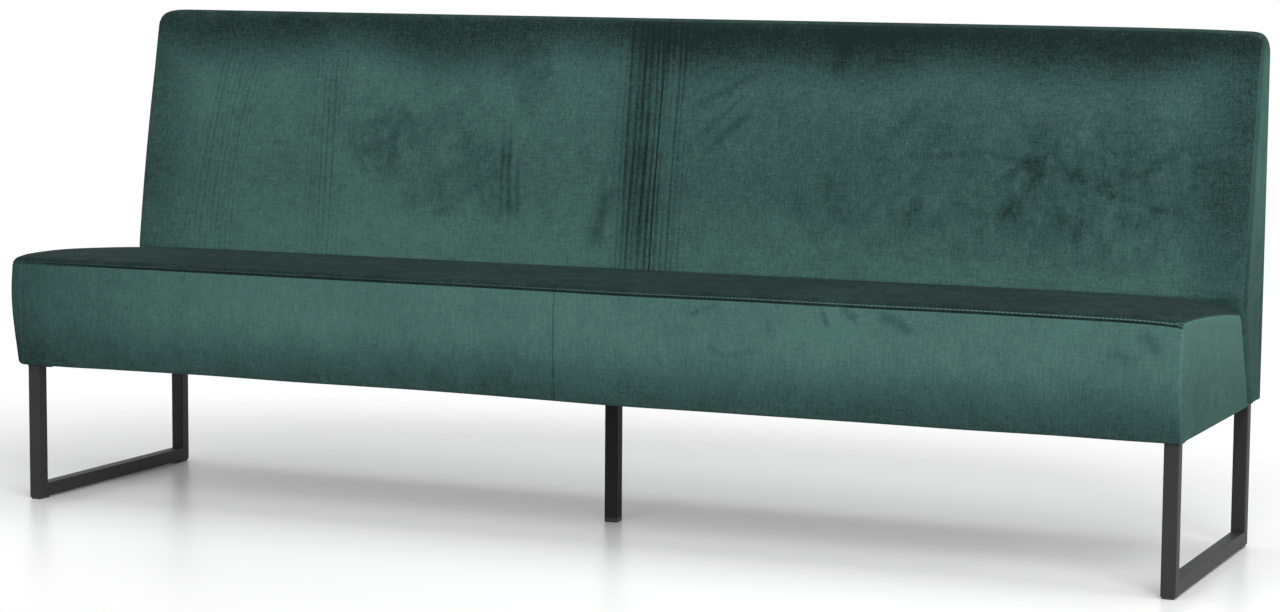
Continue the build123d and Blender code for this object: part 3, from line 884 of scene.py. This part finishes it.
def stitches_along(name, points, outward):
    """A row of separate short stitches, each a rounded bar that dips in at both ends."""
    verts = []
    faces = []
    lengths = [0.0]
    for a, b in zip(points, points[1:]):
        lengths.append(lengths[-1] + (b - a).length)
    where = STITCH_PITCH
    at = 0
    while where < lengths[-1] - STITCH_PITCH:
        while lengths[at + 1] < where:
            at += 1
        t = (where - lengths[at]) / (lengths[at + 1] - lengths[at])
        centre = points[at].lerp(points[at + 1], t)
        up = outward[at].lerp(outward[at + 1], t).normalized()
        ahead = (points[at + 1] - points[at]).normalized()
        aside = ahead.cross(up)
        start = len(verts)
        for along, thick, lift in STITCH_RINGS:
            heart = centre + ahead * along * STITCH_LENGTH + up * lift * STITCH_LIFT
            for k in range(STITCH_SIDES):
                turn = 2 * math.pi * k / STITCH_SIDES
                spoke = aside * math.cos(turn) + up * math.sin(turn)
                verts.append(heart + spoke * STITCH_RADIUS * thick)
        last = len(verts) - STITCH_SIDES
        for a in range(start, last, STITCH_SIDES):
            b = a + STITCH_SIDES
            for k in range(STITCH_SIDES):
                n = (k + 1) % STITCH_SIDES
                faces.append((a + n, a + k, b + k, b + n))
        faces.append(tuple(start + k for k in range(STITCH_SIDES)))
        faces.append(tuple(last + k for k in reversed(range(STITCH_SIDES))))
        where += STITCH_PITCH
    return new_piece(name, verts, faces)


# Seat and backrest

# Lit and shaded copies of one velvet: their levels are painted light and shade, dark on the seat
# top, the backrest's top and in the crease, light on the fronts and sides.
velvet_front = velvet("velvet_front", 0.73, front_fall, cloudy=0.20)
velvet_top = velvet("velvet_top", 0.05)
velvet_side = velvet("velvet_side", 0.86, side_fall, cloudy=0.20)
velvet_hidden = velvet("velvet_hidden", 0.60)
velvet_back = velvet("velvet_back", 0.74, backrest_marks_and_shade, ridged=False, grain=1.4)
velvet_back_top = velvet("velvet_back_top", 0.16)
velvet_back_side = velvet("velvet_back_side", 0.74, back_side_fall)
velvet_crease_shadow = velvet("velvet_crease_shadow", 0.02, crease_fade)

seat, seat_ring, seat_places = upholstered(
    "seat_upholstery", SEAT_CORNERS, SEAT_END_ROUND, seat_shape, seat_panel)
front_seam = seam_points(seat_ring, seat_places, SEAT_TOP, SEAM_SHARE)
inflate(seat, held_points(seat_ring, seat_places, SEAT_REAR), SEAT_PRESSURE)
for number in front_seam:
    below = seat.data.vertices[number - 1]
    below.co -= below.normal * CREASE
dress(seat,
      [velvet_front, velvet_top, velvet_side, velvet_hidden, velvet_crease_shadow],
      nodes_named("seat_top_cover", "seat_front_cover", "seat_side_cover", "seat_foam",
                  "seat_wadding", "seat_rear_cloth"))

back, back_ring, back_places = upholstered(
    "back_upholstery", BACK_CORNERS, BACK_END_ROUND, back_shape, back_panel)
inflate(back, held_points(back_ring, back_places, BACK_FOOT), BACK_PRESSURE)
dress(back, [velvet_back, velvet_back_top, velvet_back_side, velvet_hidden],
      nodes_named("back_front_cover", "back_rear_cover", "back_side_cover", "back_top_cover",
                  "back_foam"))

# Lapped and stitched seam along the seat's front edge

seam_row = [k for k, x in zip(front_seam, seat_places) if HALF - abs(x) > SEAM_END]
seam_out = [seat.data.vertices[k].normal.copy() for k in seam_row]
seam_up = [n.cross(Vector((1, 0, 0))).normalized() for n in seam_out]
seam_line = []
fold_sizes = []
for k, up in zip(seam_row, seam_up):
    point = seat.data.vertices[k].co
    seam_line.append(point + up * (FOLD_SHIFT + FOLD_CLIMB * ease(point.x, *FOLD_CLIMB_SPAN)))
    fold_sizes.append(FOLD_LEAST + (1 - FOLD_LEAST) * ease(point.x, *FOLD_TAPER_SPAN))
fold = fold_along("seat_front_fold", seam_line, seam_out, seam_up, fold_sizes)
dress(fold, [velvet("velvet_fold", 0.10, fold_rise)])
stitch_line = [p + n * STITCH_OUT for p, n in zip(seam_line, seam_out)]
stitch_row = stitches_along("seat_front_stitches", stitch_line, seam_out)
dress(stitch_row, [thread()])

# Materials of the nodes that show as they are

NODE_MATERIALS = {
    "black_steel": powder_coat("powder_coat", (0.017, 0.017, 0.018), (0.025, 0.025, 0.026), 0.24),
    "black_plastic": moulded_plastic(),
    "black_cloth": lining_cloth(),
    "zinc_steel": zinc(),
    "beech": plain_wood("beech", (0.55, 0.38, 0.22), (0.42, 0.27, 0.14), 60.0),
    "fibreboard": plain_wood("fibreboard", (0.34, 0.24, 0.15), (0.24, 0.16, 0.10), 160.0),
    "webbing": webbing(),
}
# Painted shade: the middle post, which stands in the shade under the bench, gets a darker coat,
# with less shine as well.
shaded_dull_coat = powder_coat("shaded_dull_powder_coat", (0.009, 0.009, 0.009), (0.013, 0.013, 0.013), 0.14)
for subpart in frame["record"]["subparts"]:
    node_object = frame["nodes"][subpart["node"]]
    material = NODE_MATERIALS.get(subpart["material_slot"])
    if subpart["node"] == "middle_post":
        material = shaded_dull_coat
    if material:
        for slot in node_object.material_slots:
            slot.material = material

# Stage, light and camera

FLOOR = 9.0             # half the size of the floor
WORLD_LIGHT = 0.45      # strength of the surroundings as a light
# Soft lamps: name, place, target, width, height, and power
LAMPS = [
    ("key", (2.6, -3.6, 3.4), (0.2, 0.0, 0.5), 3.0, 2.0, 150.0),
    ("fill", (-0.4, -5.6, 2.6), (-0.2, 0.0, 0.5), 2.2, 2.0, 64.0),
    ("overhead", (0.0, 0.3, 4.2), (0.0, 0.0, 0.0), 5.0, 3.0, 62.0),
    ("right", (4.6, -0.4, 1.8), (1.0, 0.0, 0.5), 2.0, 2.0, 42.0),
]
CAMERA_PLACE = (2.247, -5.058, 0.9936)
CAMERA_YAW = 23.58      # degrees
CAMERA_PITCH = 6.19
CAMERA_ROLL = 0.41
CAMERA_LENS = 86.8      # millimetres
CAMERA_SENSOR = 36.0


def area_light(name, place, target, width, height, power):
    """A soft rectangular lamp that looks at a target."""
    data = bpy.data.lights.new(name, "AREA")
    data.shape = "RECTANGLE"
    data.size = width
    data.size_y = height
    data.energy = power
    lamp = bpy.data.objects.new(name, data)
    lamp.location = place
    direction = Vector(target) - Vector(place)
    lamp.rotation_euler = direction.to_track_quat("-Z", "Y").to_euler()
    link(lamp)


floor_corners = [(-FLOOR, -FLOOR, 0), (FLOOR, -FLOOR, 0), (FLOOR, FLOOR, 0), (-FLOOR, FLOOR, 0)]
floor = new_piece("floor", floor_corners, [(0, 1, 2, 3)])
floor.data.materials.append(floor_paint())

for lamp_values in LAMPS:
    area_light(*lamp_values)


def studio_world():
    """White to the camera and in reflections, and softer as a light."""
    world = bpy.data.worlds.new("studio")
    bpy.context.scene.world = world
    world.use_nodes = True
    tree = world.node_tree
    tree.nodes.clear()
    path = tree.nodes.new("ShaderNodeLightPath")
    seen = tree.nodes.new("ShaderNodeBackground")
    lit = tree.nodes.new("ShaderNodeBackground")
    for background in (seen, lit):
        background.inputs["Color"].default_value = (1.0, 1.0, 1.0, 1.0)
    lit.inputs["Strength"].default_value = WORLD_LIGHT
    mix = tree.nodes.new("ShaderNodeMixShader")
    result = tree.nodes.new("ShaderNodeOutputWorld")
    shown = path.outputs["Is Camera Ray"]
    for kind in ("Is Glossy Ray", "Is Transmission Ray"):
        either = tree.nodes.new("ShaderNodeMath")
        either.operation = "MAXIMUM"
        tree.links.new(shown, either.inputs[0])
        tree.links.new(path.outputs[kind], either.inputs[1])
        shown = either.outputs[0]
    tree.links.new(shown, mix.inputs[0])
    tree.links.new(lit.outputs[0], mix.inputs[1])
    tree.links.new(seen.outputs[0], mix.inputs[2])
    tree.links.new(mix.outputs[0], result.inputs["Surface"])


studio_world()

camera_data = bpy.data.cameras.new("camera")
camera_data.sensor_fit = "HORIZONTAL"
camera_data.sensor_width = CAMERA_SENSOR
camera_data.lens = CAMERA_LENS
camera = bpy.data.objects.new("camera", camera_data)
aim = (
    Matrix.Rotation(math.radians(CAMERA_YAW), 4, "Z")
    @ Matrix.Rotation(math.radians(90.0 - CAMERA_PITCH), 4, "X")
    @ Matrix.Rotation(math.radians(CAMERA_ROLL), 4, "Z")
)
camera.matrix_world = Matrix.Translation(CAMERA_PLACE) @ aim
link(camera)
bpy.context.scene.camera = camera
bpy.context.scene.view_settings.view_transform = "Standard"
